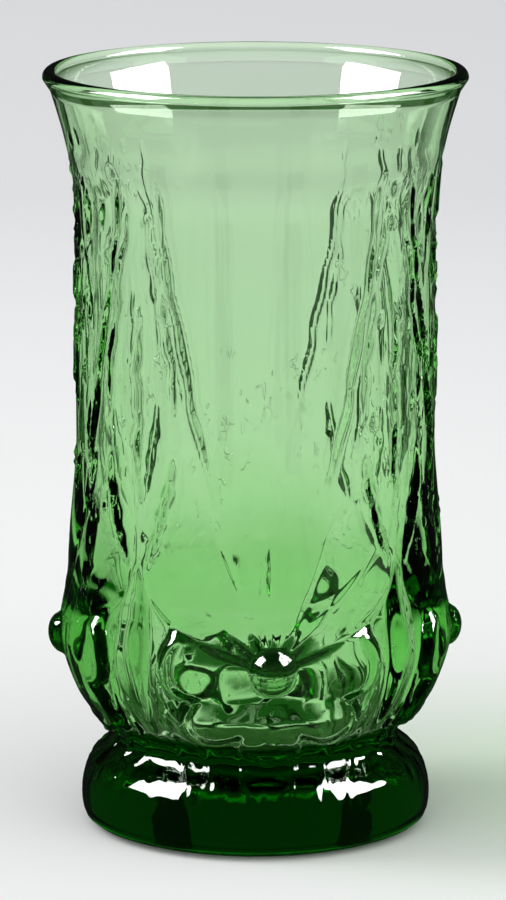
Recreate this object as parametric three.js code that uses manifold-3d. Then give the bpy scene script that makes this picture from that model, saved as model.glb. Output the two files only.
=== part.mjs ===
// A footed drinking tumbler, pressed from green glass in one piece.
// It stands on z = 0 round the Z axis, and the middle of one flower faces -Y.
// The plain glass is a turned outline. Each flower, leaf and stem is drawn flat, given its height,
// wrapped on the outside of the turned glass and joined to it.
// Lengths are in millimetres and angles in degrees unless a comment says otherwise.
import * as THREE from 'three';
import { mergeVertices } from 'three/addons/utils/BufferGeometryUtils.js';
import Module from 'manifold-3d';

// Height, and the heights of the outline's turning points
const HEIGHT = 150;
const FLARE_HEIGHT = 26;
const BELLY_TOP = 56;
const BULGE_HEIGHT = 38.5;
const WAIST_HEIGHT = 18.5;

// Outside radii of the plain glass, under the pressed pattern
const LIP_RADIUS = 41.4;
const BODY_RADIUS = 35.2;
const BULGE_RADIUS = 37.2;
const WAIST_RADIUS = 27.8;

// The foot
const FOOT_RADIUS = 34.4;
const FOOT_EDGE_HEIGHT = 7.5;
const RING_RADIUS = 30;
const RING_WIDTH = 5;
const RECESS_DEPTH = 1.8;
const RECESS_SLOPE = 4;

// The lip's rounded bead
const BEAD_RADIUS = 1.5;
const BEAD_NECK = 1;

// The inside, shaped by a plunger that draws out upwards
const WALL = 2.7;
const BASE_THICKNESS = 21;
const CAVITY_TAPER = 1.4;
const CAVITY_SHOULDER_HEIGHT = 36;
const CAVITY_FLOOR_RADIUS = 25;
const CAVITY_CORNER = 3;

// The flowers, which stand out from the bulge, each with a domed button in the middle.
// The petals beside and below the button stand out further than the ones above it.
const FLOWERS = 4;
const PETALS = 8;
const PETAL_LENGTH = 22;
const PETAL_RISE = 2.6;
const UPPER_PETAL_RISE = 0.8;
const PETAL_NOTCH = 5;
const BUTTON_RADIUS = 4;
const BUTTON_RISE = 3.8;

// A broad leaf between each two flowers, from under the bulge to above the belly
const LEAF_FOOT_HEIGHT = 22;
const LEAF_TIP_HEIGHT = 59;
const LEAF_WIDTH = 8.4;
const LEAF_RISE = 1.6;

// A pair of slim leaves beside each broad leaf's foot, which spread out down to the foot's shoulder
const SEPAL_TIP_HEIGHT = 36;
const SEPAL_TIP_REACH = 6.2;
const SEPAL_FOOT_HEIGHT = 14;
const SEPAL_FOOT_REACH = 12.5;
const SEPAL_WIDTH = 3.8;
const SEPAL_RISE = 1.2;

// A pair of slim leaves that part above each broad leaf
const SPRIG_LENGTH = 20;
const SPRIG_REACH = 8;
const SPRIG_WIDTH = 3.6;
const SPRIG_RISE = 1.5;

// The stems, which rise beside each flower and lean out to the flare
const STEM_FOOT_HEIGHT = 64;
const STEM_FOOT_REACH = 9;
const STEM_TOP_HEIGHT = 135;
const STEM_TOP_REACH = 24;
const STEM_WIDTH = 2.4;
const STEM_RISE = 1.2;

// Thin blades above each broad leaf: one in the middle, and a pair that lean together
const BLADE_FOOT_HEIGHT = 84;
const BLADE_FOOT_REACH = 9;
const BLADE_TOP_HEIGHT = 126;
const BLADE_TOP_REACH = 2.5;
const MIDDLE_BLADE_FOOT_HEIGHT = 66;
const BLADE_WIDTH = 2;
const BLADE_RISE = 0.9;

// How deep each raised piece is rooted in the wall that it is joined to
const ROOT = 1.2;

// Facets that this much would flatten are merged
const SMALLEST_DETAIL = 0.05;

// How finely the surfaces are divided
const COLUMNS = 60;
const ROW_SPACING = 6;
const BEAD_STEPS = 6;
const CORNER_STEPS = 3;
const THROAT_STEPS = 3;
const SPOKES_IN_PETAL = 4;
const LEAF_STEPS = 8;
const SLIM_LEAF_STEPS = 5;
const STEM_STEPS = 7;

const { lerp, degToRad, smoothstep } = THREE.MathUtils;
const wasm = await Module();
wasm.setup();

// The outline's outer side, from the foot's ring up to the neck under the lip
const outerSide = makeOuterSide();
const outerLength = outerSide.getLength();
const bulgeDistance = distanceAtHeight(BULGE_HEIGHT);

function makeOuterSide() {
  const neck = new THREE.Vector2(LIP_RADIUS - BEAD_RADIUS, HEIGHT - 2 * BEAD_RADIUS - BEAD_NECK);
  const flareFoot = HEIGHT - FLARE_HEIGHT;
  const curve = new THREE.SplineCurve([
    new THREE.Vector2(RING_RADIUS, 0),
    new THREE.Vector2(lerp(RING_RADIUS, FOOT_RADIUS, 0.85), FOOT_EDGE_HEIGHT * 0.25),
    new THREE.Vector2(FOOT_RADIUS, FOOT_EDGE_HEIGHT),
    new THREE.Vector2(lerp(WAIST_RADIUS, FOOT_RADIUS, 0.72), lerp(FOOT_EDGE_HEIGHT, WAIST_HEIGHT, 0.5)),
    new THREE.Vector2(WAIST_RADIUS, WAIST_HEIGHT),
    new THREE.Vector2(lerp(WAIST_RADIUS, BULGE_RADIUS, 0.66), lerp(WAIST_HEIGHT, BULGE_HEIGHT, 0.5)),
    new THREE.Vector2(BULGE_RADIUS, BULGE_HEIGHT),
    new THREE.Vector2(lerp(BODY_RADIUS, BULGE_RADIUS, 0.45), lerp(BULGE_HEIGHT, BELLY_TOP, 0.5)),
    new THREE.Vector2(BODY_RADIUS, BELLY_TOP),
    new THREE.Vector2(BODY_RADIUS, lerp(BELLY_TOP, flareFoot, 0.5)),
    new THREE.Vector2(BODY_RADIUS, flareFoot),
    new THREE.Vector2(lerp(BODY_RADIUS, neck.x, 0.4), lerp(flareFoot, neck.y, 0.55)),
    neck,
  ]);
  curve.arcLengthDivisions = 1000;
  return curve;
}

// How far along the outer side a height is reached
function distanceAtHeight(z) {
  let low = 0;
  let high = 1;
  while (high - low > 1e-6) {
    const middle = (low + high) / 2;
    if (outerSide.getPointAt(middle).y < z) low = middle;
    else high = middle;
  }
  return low * outerLength;
}

// Points along the outer side, with its stations kept. A straight stretch gets no points between.
function outerPoints() {
  const stations = outerSide.points;
  const points = [stations[0]];
  for (let i = 1; i < stations.length; i++) {
    const straight = stations[i].x === stations[i - 1].x;
    const spacing = straight ? 6 * ROW_SPACING : ROW_SPACING;
    const steps = Math.ceil(stations[i].distanceTo(stations[i - 1]) / spacing);
    for (let k = 1; k <= steps; k++) {
      points.push(outerSide.getPoint((i - 1 + k / steps) / (stations.length - 1)));
    }
  }
  return points;
}

// The underside: a shallow recess inside the ring that the tumbler stands on
function undersidePoints() {
  const ringInner = RING_RADIUS - RING_WIDTH;
  return [
    new THREE.Vector2(0, RECESS_DEPTH),
    new THREE.Vector2(ringInner - RECESS_SLOPE, RECESS_DEPTH),
    new THREE.Vector2(ringInner, 0),
  ];
}

// The rounded bead at the lip, from its outer side over the top to its inner side
function beadPoints() {
  return new THREE.Path()
    .absarc(LIP_RADIUS - BEAD_RADIUS, HEIGHT - BEAD_RADIUS, BEAD_RADIUS, degToRad(-12), degToRad(192), false)
    .getPoints(BEAD_STEPS);
}

// The inside: a throat that follows the flare, a tapered wall, a cone that narrows with the waist,
// a round corner and a flat floor
function insidePoints(throatStart) {
  const flareFoot = HEIGHT - FLARE_HEIGHT;
  const topRadius = BODY_RADIUS - WALL;
  const shoulder = new THREE.Vector2(topRadius - CAVITY_TAPER, CAVITY_SHOULDER_HEIGHT);
  const centre = new THREE.Vector2(CAVITY_FLOOR_RADIUS, BASE_THICKNESS + CAVITY_CORNER);
  const toShoulder = shoulder.clone().sub(centre);
  // Where the cone's straight side meets the corner's arc without a kink
  const meeting = toShoulder.angle() - Math.acos(CAVITY_CORNER / toShoulder.length());
  const throat = new THREE.SplineCurve([
    throatStart,
    new THREE.Vector2(lerp(topRadius, throatStart.x, 0.4), lerp(flareFoot, HEIGHT, 0.5)),
    new THREE.Vector2(topRadius, flareFoot),
  ]);
  const corner = new THREE.Path()
    .absarc(centre.x, centre.y, CAVITY_CORNER, meeting, degToRad(-90), true);
  return [
    ...throat.getPoints(THROAT_STEPS).slice(1),
    new THREE.Vector2(lerp(topRadius, shoulder.x, 0.5), lerp(flareFoot, shoulder.y, 0.5)),
    shoulder,
    ...corner.getPoints(CORNER_STEPS),
    new THREE.Vector2(0, BASE_THICKNESS),
  ];
}

// A closed solid under a skin of rings. Each ring has as many points as the next one, and the
// first and last rings are single points. Ring by ring, the outside lies to the right.
function solidFromRings(rings) {
  const around = rings[1].length;
  const starts = rings.map((_, i) => (i === 0 ? 0 : 1 + (i - 1) * around));
  const index = [];
  for (let i = 1; i < rings.length; i++) {
    for (let j = 0; j < around; j++) {
      const next = (j + 1) % around;
      const [a, b] = i === 1 ? [0, 0] : [starts[i - 1] + j, starts[i - 1] + next];
      const [c, d] = i === rings.length - 1 ? [starts[i], starts[i]] : [starts[i] + next, starts[i] + j];
      if (a !== b) index.push(a, b, c);
      if (c !== d) index.push(a, c, d);
    }
  }
  const geometry = new THREE.BufferGeometry().setFromPoints(rings.flat());
  geometry.setIndex(index);
  const merged = mergeVertices(geometry, 1e-4);
  return new wasm.Manifold(new wasm.Mesh({
    numProp: 3,
    vertProperties: merged.attributes.position.array,
    triVerts: Uint32Array.from(merged.index.array),
  }));
}

// The plain glass: the whole outline turned round the axis
function turnedGlass() {
  const bead = beadPoints();
  const outline = [...undersidePoints(), ...outerPoints(), ...bead, ...insidePoints(bead.at(-1))];
  const rings = outline.map(({ x, y }) => {
    if (x === 0) return [new THREE.Vector3(0, 0, y)];
    return Array.from({ length: COLUMNS }, (_, j) => {
      const angle = degToRad((360 * j) / COLUMNS);
      return new THREE.Vector3(x * Math.sin(angle), -x * Math.cos(angle), y);
    });
  });
  return solidFromRings(rings);
}

// The place on the glass that is `across` and `up` from the bulge's peak, raised by `height`
function wrap(turn, across, up, height) {
  const share = (bulgeDistance + up) / outerLength;
  const point = outerSide.getPointAt(share);
  const tangent = outerSide.getTangentAt(share);
  const radius = point.x + height * tangent.y;
  const angle = degToRad(turn) + across / point.x;
  return new THREE.Vector3(
    radius * Math.sin(angle), -radius * Math.cos(angle), point.y - height * tangent.x);
}

// One flower: rings round its button, cut into petals by creases and by notches between the tips.
// It stands out least straight above its button.
function flower(turn) {
  const spokes = PETALS * SPOKES_IN_PETAL;
  // How far a spoke is from its petal's middle: 0 there, 1 on the crease beside it
  const offset = (j) => Math.abs(((j % SPOKES_IN_PETAL) / SPOKES_IN_PETAL) * 2 - 1);
  const tip = (j) => PETAL_LENGTH - PETAL_NOTCH * offset(j) ** 2.5;
  const angle = (j) => (2 * Math.PI * j) / spokes;
  const rise = (j) => lerp(PETAL_RISE, UPPER_PETAL_RISE, smoothstep(Math.sin(angle(j)), 0.3, 0.6));
  const ring = (reach, height) => Array.from({ length: spokes }, (_, j) => {
    const distance = reach(j);
    return wrap(turn, distance * Math.cos(angle(j)), distance * Math.sin(angle(j)), height(j));
  });
  const onPetal = (share) => (j) => lerp(BUTTON_RADIUS, tip(j), share);
  const petal = (share) => (j) => rise(j) * share * (1 - 0.2 * offset(j) ** 4);
  const onButton = (share) => () => BUTTON_RADIUS * share;
  const dome = (share) => (j) => lerp(rise(j) * 0.6, BUTTON_RISE, Math.sqrt(1 - share ** 2));
  return solidFromRings([
    [wrap(turn, 0, 0, -ROOT)],
    ring(onPetal(0.5), () => -ROOT),
    ring(onPetal(1), () => -ROOT),
    ring(onPetal(1), petal(0.1)),
    ring(onPetal(0.94), petal(0.75)),
    ring(onPetal(0.72), petal(0.72)),
    ring(onPetal(0.3), petal(0.8)),
    ring(onButton(1), dome(1)),
    ring(onButton(0.8), dome(0.8)),
    ring(onButton(0.4), dome(0.4)),
    [wrap(turn, 0, 0, BUTTON_RISE)],
  ]);
}

// Cross-sections of a ridge from left to right, as shares of its half width and of its rise
const ROUND_SECTION = [[-1, 0], [-0.6, 0.75], [0, 1], [0.6, 0.75], [1, 0]];
const GROOVED_SECTION = [[-1, 0.3], [-0.6, 1], [0, 0.35], [0.6, 1], [1, 0.3]];
const ROOF_SECTION = [[-1, 0], [0, 1], [1, 0]];

// A ridge along a spine that is drawn flat. It tapers to nothing at both ends.
function ridge(turn, spine, steps, width, rise, section) {
  const end = (t) => {
    const { x, y } = spine.getPoint(t);
    return [wrap(turn, x, y, -ROOT / 2)];
  };
  const rings = [end(0)];
  for (let i = 1; i < steps; i++) {
    const t = i / steps;
    const point = spine.getPoint(t);
    const tangent = spine.getTangent(t);
    const taper = Math.sin(Math.PI * t) ** 0.6;
    const place = (side, height) => {
      const reach = (side * width * taper) / 2;
      return wrap(turn, point.x + reach * tangent.y, point.y - reach * tangent.x, height);
    };
    rings.push([
      ...section.map(([side, height]) => place(side, height * rise * taper)),
      place(1, -ROOT),
      place(-1, -ROOT),
    ]);
  }
  rings.push(end(1));
  return solidFromRings(rings);
}

// A spine from one place to another, drawn flat, that bows out to the right by `bow` in its middle
function bowedSpine(from, to, bow) {
  const middle = from.clone().lerp(to, 0.5);
  return new THREE.QuadraticBezierCurve(from, middle.setX(middle.x + 2 * bow), to);
}

// A place in the flat drawing: how far it is to the right of the middle, and its height
function flatPlace(across, z) {
  return new THREE.Vector2(across, distanceAtHeight(z) - bulgeDistance);
}

function leaf(turn) {
  const spine = new THREE.LineCurve(flatPlace(0, LEAF_FOOT_HEIGHT), flatPlace(0, LEAF_TIP_HEIGHT));
  return ridge(turn, spine, LEAF_STEPS, LEAF_WIDTH, LEAF_RISE, GROOVED_SECTION);
}

// The slim pieces come in pairs: the right one has side 1 and the left one has side -1
function sepal(turn, side) {
  const spine = bowedSpine(
    flatPlace(side * SEPAL_FOOT_REACH, SEPAL_FOOT_HEIGHT),
    flatPlace(side * SEPAL_TIP_REACH, SEPAL_TIP_HEIGHT), -side * SEPAL_WIDTH / 4);
  return ridge(turn, spine, SLIM_LEAF_STEPS, SEPAL_WIDTH, SEPAL_RISE, ROUND_SECTION);
}

function sprig(turn, side) {
  const spine = bowedSpine(
    flatPlace(side * SPRIG_WIDTH / 2, LEAF_TIP_HEIGHT - SPRIG_WIDTH),
    flatPlace(side * SPRIG_REACH, LEAF_TIP_HEIGHT + SPRIG_LENGTH), side * SPRIG_WIDTH / 4);
  return ridge(turn, spine, SLIM_LEAF_STEPS, SPRIG_WIDTH, SPRIG_RISE, ROUND_SECTION);
}

function blade(turn, side) {
  const spine = bowedSpine(
    flatPlace(side * BLADE_FOOT_REACH, BLADE_FOOT_HEIGHT),
    flatPlace(side * BLADE_TOP_REACH, BLADE_TOP_HEIGHT), side * BLADE_WIDTH * 0.4);
  return ridge(turn, spine, SLIM_LEAF_STEPS, BLADE_WIDTH, BLADE_RISE, ROOF_SECTION);
}

function middleBlade(turn) {
  const rise = BLADE_TOP_HEIGHT - BLADE_FOOT_HEIGHT;
  const spine = new THREE.LineCurve(
    flatPlace(0, MIDDLE_BLADE_FOOT_HEIGHT), flatPlace(0, MIDDLE_BLADE_FOOT_HEIGHT + rise));
  return ridge(turn, spine, SLIM_LEAF_STEPS, BLADE_WIDTH, BLADE_RISE, ROOF_SECTION);
}

function stem(turn, side) {
  const spine = bowedSpine(
    flatPlace(side * STEM_FOOT_REACH, STEM_FOOT_HEIGHT),
    flatPlace(side * STEM_TOP_REACH, STEM_TOP_HEIGHT), side * STEM_WIDTH / 2);
  return ridge(turn, spine, STEM_STEPS, STEM_WIDTH, STEM_RISE, ROUND_SECTION);
}

function tumblerGeometry() {
  const solids = [turnedGlass()];
  for (let i = 0; i < FLOWERS; i++) {
    const turn = (360 * i) / FLOWERS;
    const between = turn + 180 / FLOWERS;
    solids.push(flower(turn), leaf(between), middleBlade(between));
    for (const side of [-1, 1]) {
      solids.push(stem(turn, side), sepal(between, side), sprig(between, side), blade(between, side));
    }
  }
  const mesh = wasm.Manifold.union(solids).simplify(SMALLEST_DETAIL).getMesh();
  const geometry = new THREE.BufferGeometry();
  geometry.setAttribute('position', new THREE.BufferAttribute(mesh.vertProperties, 3));
  geometry.setIndex(new THREE.BufferAttribute(mesh.triVerts, 1));
  geometry.computeVertexNormals();
  return geometry;
}

const glass = new THREE.MeshStandardMaterial({
  name: 'green_glass',
  color: '#55a343',
  roughness: 0.02,
  metalness: 0,
  transparent: true,
  opacity: 0.5,
});

const tumbler = new THREE.Mesh(tumblerGeometry(), glass);
tumbler.name = 'tumbler_glass';

const part = new THREE.Group();
part.add(tumbler);
export default part;
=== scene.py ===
"""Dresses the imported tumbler: one piece of green pressed glass, on a pale studio sweep."""

import logging
import math
from collections.abc import Callable, Iterable
from dataclasses import dataclass, field, fields, replace
from enum import Enum
from functools import partial

import bpy
import numpy as np
from bpy.types import Material, Node, NodeSocket as Socket, NodeTree as Tree, Object
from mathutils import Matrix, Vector


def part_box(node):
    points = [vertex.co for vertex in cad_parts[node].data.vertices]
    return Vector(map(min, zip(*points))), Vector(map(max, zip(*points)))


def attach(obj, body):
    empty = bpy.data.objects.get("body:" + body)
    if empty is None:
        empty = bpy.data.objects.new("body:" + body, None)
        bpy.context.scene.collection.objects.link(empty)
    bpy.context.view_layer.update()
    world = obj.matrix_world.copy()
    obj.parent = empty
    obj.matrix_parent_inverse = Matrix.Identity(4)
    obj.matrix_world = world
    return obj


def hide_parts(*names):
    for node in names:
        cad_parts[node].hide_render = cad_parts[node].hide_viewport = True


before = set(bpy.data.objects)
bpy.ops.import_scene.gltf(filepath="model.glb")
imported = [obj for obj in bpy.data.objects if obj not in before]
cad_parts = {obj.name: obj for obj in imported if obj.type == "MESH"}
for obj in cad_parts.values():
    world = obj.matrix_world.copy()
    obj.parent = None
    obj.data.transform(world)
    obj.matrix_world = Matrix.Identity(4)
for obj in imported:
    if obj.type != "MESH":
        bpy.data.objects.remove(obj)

LOG = logging.getLogger("tumbler")
MM = 0.001
CAD_NODE = "tumbler_glass"
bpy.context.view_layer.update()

# The least that anything is divided by.
TINY = 1e-6

# What is fine on the rough ground has its full height from a third of the ground's share on.
ROUGH_GAIN = 3.0

Adder = Callable[..., Node]
Array = np.ndarray
Span = tuple[float, float]


class RayKind(Enum):
    """The ray visibility switches of a Blender object."""

    CAMERA = "visible_camera"
    DIFFUSE = "visible_diffuse"
    GLOSSY = "visible_glossy"
    TRANSMISSION = "visible_transmission"
    SHADOW = "visible_shadow"


class Section(Enum):
    """How a ridge falls from its middle to its edge: places on the way out and the height share at each."""

    FIRM = ((0, 1), (0.2, 0.95), (0.9, 0.1), (1, 0))
    SOFT = ((0, 1), (0.3, 0.9), (0.7, 0.35), (1, 0))


def linear(colour: str) -> tuple[float, float, float, float]:
    """Turns an sRGB hex colour into linear RGB with alpha 1.

    Args:
        colour: Six hex digits after a hash sign.

    Returns:
        Red, green, blue and alpha.
    """
    parts = [int(colour[i : i + 2], 16) / 255 for i in (1, 3, 5)]
    red, green, blue = (p / 12.92 if p <= 0.04045 else ((p + 0.055) / 1.055) ** 2.4 for p in parts)
    return red, green, blue, 1.0


def add_node(tree: Tree, kind: str, links: dict[str | int, object] | None = None, **settings: object) -> Node:
    """Adds a node to a tree, with its settings, input values and links.

    Args:
        tree: The node tree to add to.
        kind: The node's Blender type name, which for a shader node goes without "ShaderNode".
        links: Input name or number to a value, an output socket, or a node whose first output feeds it.
        **settings: Properties of the node itself.

    Returns:
        The new node.
    """
    node = tree.nodes.new(kind if "Node" in kind else f"ShaderNode{kind}")
    for name, value in settings.items():
        setattr(node, name, value)
    for key, value in (links or {}).items():
        if isinstance(value, Node):
            value = value.outputs[0]
        if isinstance(value, Socket):
            tree.links.new(value, node.inputs[key])
        else:
            node.inputs[key].default_value = value
    return node


def new_material(name: str) -> tuple[Material, Adder]:
    """Makes a material with an empty tree.

    Args:
        name: The material's name.

    Returns:
        The material, and the function that adds nodes to its tree.
    """
    material = bpy.data.materials.new(name)
    material.use_nodes = True
    material.node_tree.nodes.clear()
    return material, partial(add_node, material.node_tree)


def link_object(name: str, data: bpy.types.ID) -> Object:
    """Makes an object and links it to the scene.

    Args:
        name: The object's name.
        data: Its mesh, light or camera.

    Returns:
        The object.
    """
    made = bpy.data.objects.new(name, data)
    bpy.context.scene.collection.objects.link(made)
    return made


def flat_object(name: str, corners: list, faces: list, material: Material) -> Object:
    """Makes an object of flat faces.

    Args:
        name: The object's name.
        corners: Its corners, in metres.
        faces: The numbers of each face's corners.
        material: What it is made of.

    Returns:
        The object, linked to the scene.
    """
    mesh = bpy.data.meshes.new(name)
    mesh.from_pydata(corners, [], faces)
    mesh.materials.append(material)
    return link_object(name, mesh)


def smoothstep(value: Array, low: float | Array, high: float | Array) -> Array:
    """Rises smoothly from 0 at `low` to 1 at `high`."""
    share = np.clip((value - low) / (high - low), 0, 1)
    return share * share * (3 - 2 * share)


def between(low: float, high: float, share: float | Array) -> float | Array:
    """What lies at a share of the way from `low` to `high`."""
    return low + (high - low) * share


@dataclass
class SplineOutline:
    """A smooth curve through stations, the same Catmull-Rom spline that the solid's outline uses.

    Attributes:
        stations: Radius and height of each station, in millimetres.
        samples: How many points stand in for the curve when lengths are measured.
    """

    stations: list[Span]
    samples: int = 4000

    def __post_init__(self) -> None:
        """Samples the curve and measures the distance along it."""
        self.points = self._curve(np.linspace(0, 1, self.samples))
        steps = np.hypot(*np.diff(self.points, axis=0).T)
        self.distance = np.concatenate([[0], np.cumsum(steps)])
        self.slopes = np.gradient(self.points, self.distance, axis=0)

    def _curve(self, share: Array) -> Array:
        """Evaluates the spline.

        Args:
            share: How far along its stations, from 0 to 1.

        Returns:
            The radius and height at each share.
        """
        stations = np.array(self.stations, float)
        last = len(stations) - 1
        place = np.clip(share * last, 0, last)
        first = np.minimum(place.astype(int), last - 1)
        t = (place - first)[:, None]
        p0, p1 = stations[np.maximum(first - 1, 0)], stations[first]
        p2, p3 = stations[first + 1], stations[np.minimum(first + 2, last)]
        v0, v1 = (p2 - p0) / 2, (p3 - p1) / 2
        return (2 * p1 - 2 * p2 + v0 + v1) * t**3 + (3 * p2 - 3 * p1 - 2 * v0 - v1) * t**2 + v0 * t + p1

    def at(self, distance: Array) -> Array:
        """Radius and height at distances along the curve."""
        return np.stack([np.interp(distance, self.distance, self.points[:, i]) for i in (0, 1)], axis=-1)

    def slope(self, distance: Array) -> Array:
        """The curve's direction at distances along it."""
        found = np.stack([np.interp(distance, self.distance, self.slopes[:, i]) for i in (0, 1)], axis=-1)
        return found / np.linalg.norm(found, axis=-1, keepdims=True)

    def distance_at(self, height: float) -> float:
        """How far along the curve a height is first reached."""
        return float(self.distance[np.argmax(self.points[:, 1] >= height)])


@dataclass
class TumblerForm:
    """The plain glass's sizes, in millimetres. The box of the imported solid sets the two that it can.

    `eases` are the outline's stations between its corners, as shares of the way across and up to the next.
    """

    height: float
    lip_radius: float
    flare_height: float = 26.0
    belly_top: float = 56.0
    bulge_height: float = 38.5
    waist_height: float = 18.5
    body_radius: float = 35.2
    bulge_radius: float = 37.2
    waist_radius: float = 27.8
    foot_radius: float = 34.4
    foot_edge_height: float = 7.5
    ring_radius: float = 30.0
    ring_width: float = 5.0
    recess_depth: float = 1.8
    recess_slope: float = 4.0
    bead_radius: float = 1.5
    bead_neck: float = 1.0
    bead_from: float = -12.0
    bead_to: float = 192.0
    wall: float = 2.7
    base_thickness: float = 21.0
    cavity_taper: float = 1.4
    cavity_shoulder: float = 36.0
    cavity_floor_radius: float = 25.0
    cavity_corner: float = 3.0
    cavity_corner_points: int = 8
    throat_ease: float = 0.4
    eases: tuple[Span, ...] = ((0.85, 0.25), (0.28, 0.5), (0.66, 0.5), (0.55, 0.5), (0.5, 0.5), (0.4, 0.55))

    def outer(self) -> SplineOutline:
        """The outer side, with the solid's own stations.

        Returns:
            The curve from the foot's ring to the neck under the lip.
        """
        flare_foot = self.height - self.flare_height
        neck_height = self.height - 2 * self.bead_radius - self.bead_neck
        corners = [
            (self.ring_radius, 0.0), (self.foot_radius, self.foot_edge_height),
            (self.waist_radius, self.waist_height), (self.bulge_radius, self.bulge_height),
            (self.body_radius, self.belly_top), (self.body_radius, flare_foot),
            (self.lip_radius - self.bead_radius, neck_height),
        ]
        stations = corners[:1]
        for low, high, ease in zip(corners, corners[1:], self.eases):
            stations += [tuple(between(a, b, share) for a, b, share in zip(low, high, ease)), high]
        return SplineOutline(stations)

    def underside(self, spacing: float) -> Array:
        """The recess inside the ring that the tumbler stands on.

        Args:
            spacing: About how far its points are apart.

        Returns:
            Its radii and heights, from the axis outwards.
        """
        inner = self.ring_radius - self.ring_width
        corners = [(0.0, self.recess_depth), (inner - self.recess_slope, self.recess_depth), (inner, 0.0)]
        return self._walk(corners + [(self.ring_radius, 0.0)], spacing)[:-1]

    def bead(self, steps: int) -> Array:
        """The lip's round bead.

        Args:
            steps: How many steps it is drawn in.

        Returns:
            Its radii and heights, from its outer side over the top to its inner side.
        """
        angle = np.radians(np.linspace(self.bead_from, self.bead_to, steps + 1))
        centre = np.array([self.lip_radius - self.bead_radius, self.height - self.bead_radius])
        return centre + self.bead_radius * np.stack([np.cos(angle), np.sin(angle)], -1)

    def inside(self, start: Array, spacing: float) -> Array:
        """The throat, the wall, the cone under it, the round corner and the floor.

        Args:
            start: The bead's last point.
            spacing: About how far the throat's points are apart.

        Returns:
            Their radii and heights, ending on the axis.
        """
        flare_foot = self.height - self.flare_height
        top = self.body_radius - self.wall
        shoulder = np.array([top - self.cavity_taper, self.cavity_shoulder])
        centre = np.array([self.cavity_floor_radius, self.base_thickness + self.cavity_corner])
        ahead = shoulder - centre
        meets = math.atan2(ahead[1], ahead[0]) - math.acos(self.cavity_corner / float(np.linalg.norm(ahead)))
        throat = SplineOutline([
            tuple(start),
            (between(top, start[0], self.throat_ease), (flare_foot + self.height) / 2),
            (top, flare_foot),
        ])
        throat_steps = math.ceil(throat.distance[-1] / spacing)
        angle = np.linspace(meets, -math.pi / 2, self.cavity_corner_points)
        corner = centre + self.cavity_corner * np.stack([np.cos(angle), np.sin(angle)], -1)
        wall = self._walk([(top, flare_foot), tuple(shoulder), tuple(corner[0])], 2 * spacing)
        ground = self._walk([tuple(corner[-1]), (0.0, self.base_thickness)], 2 * spacing)
        return np.concatenate([
            throat.at(np.linspace(0, throat.distance[-1], throat_steps + 1))[1:],
            wall[1:-1], corner, ground[1:],
        ])

    @staticmethod
    def _walk(corners: list[Span], spacing: float) -> Array:
        """Points along straight stretches.

        Args:
            corners: The radius and height of each corner.
            spacing: About how far the points are apart.

        Returns:
            The radius and height of each point.
        """
        points = [np.array(corners[0], float)]
        for a, b in zip(corners, corners[1:]):
            a, b = np.array(a, float), np.array(b, float)
            steps = max(1, math.ceil(float(np.linalg.norm(b - a)) / spacing))
            points += [a + (b - a) * k / steps for k in range(1, steps + 1)]
        return np.array(points)


@dataclass(frozen=True)
class Ridge:
    """A raised leaf or stem along a spine that is drawn flat and wrapped on the glass.

    Attributes:
        start: Across and up of one end, in millimetres.
        end: Across and up of the other end.
        bow: How far the spine's middle bows to the right.
        width: The full width in the middle.
        rise: The height in the middle.
        waver: How far the hand-cut spine strays from its line.
        worn: How much lower the ridge is where the mould is worn.
        section: How the ridge falls to its edges.
        blunt: The lower, the fuller the ends.
        spine_points: How many points the spine is measured by.

    The waves are counted over the ridge's length: long and fine ones of straying, those of width and of wear.
    """

    start: Span
    end: Span
    bow: float
    width: float
    rise: float
    waver: float = 0.0
    worn: float = 0.0
    section: Section = Section.FIRM
    stray_waves: float = 2.6
    fine_waves: float = 6.3
    fine_share: float = 0.6
    width_waves: float = 4.7
    width_loss: float = 0.45
    worn_waves: float = 1.7
    worn_start: float = 0.3
    worn_limits: Span = (-0.2, 0.5)
    blunt: float = 0.6
    spine_points: int = 160

    def height(self, across: Array, up: Array) -> Array:
        """The ridge's height at places in the flat drawing.

        Args:
            across: Millimetres to the right of the drawing's middle.
            up: Millimetres above the bulge's peak, along the glass.

        Returns:
            The height at each place.
        """
        t = np.linspace(0, 1, self.spine_points)
        middle = (np.array(self.start) + np.array(self.end)) / 2 + np.array([2 * self.bow, 0])
        spine = (
            np.outer((1 - t) ** 2, self.start) + np.outer(2 * t * (1 - t), middle) + np.outer(t**2, self.end)
        )
        side = 1 if self.start[0] >= 0 else -1
        stray = np.sin(math.tau * self.stray_waves * t + abs(self.start[0]))
        stray = stray + self.fine_share * np.sin(math.tau * self.fine_waves * t + self.start[1])
        spine[:, 0] += side * self.waver * stray
        wide = 0.5 + 0.5 * np.sin(math.tau * self.width_waves * t + self.end[1])
        thick = 1 - self.width_loss * (self.waver > 0) * wide
        low, high = spine.min(0) - self.width, spine.max(0) + self.width
        near = (across > low[0]) & (across < high[0]) & (up > low[1]) & (up < high[1])
        result = np.zeros_like(across)
        if not near.any():
            return result
        gap = np.hypot(across[near][:, None] - spine[:, 0], up[near][:, None] - spine[:, 1])
        nearest = gap.argmin(1)
        taper = np.maximum(np.sin(math.pi * t[nearest]), TINY) ** self.blunt
        beside = gap[np.arange(len(nearest)), nearest] / (self.width / 2 * taper * thick[nearest])
        wave = np.sin(math.tau * (self.worn_waves * t[nearest] + self.worn_start))
        wear = 1 - self.worn * smoothstep(wave, *self.worn_limits)
        shares = np.array(self.section.value)
        result[near] = self.rise * taper * wear * np.interp(beside, shares[:, 0], shares[:, 1])
        return result


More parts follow.
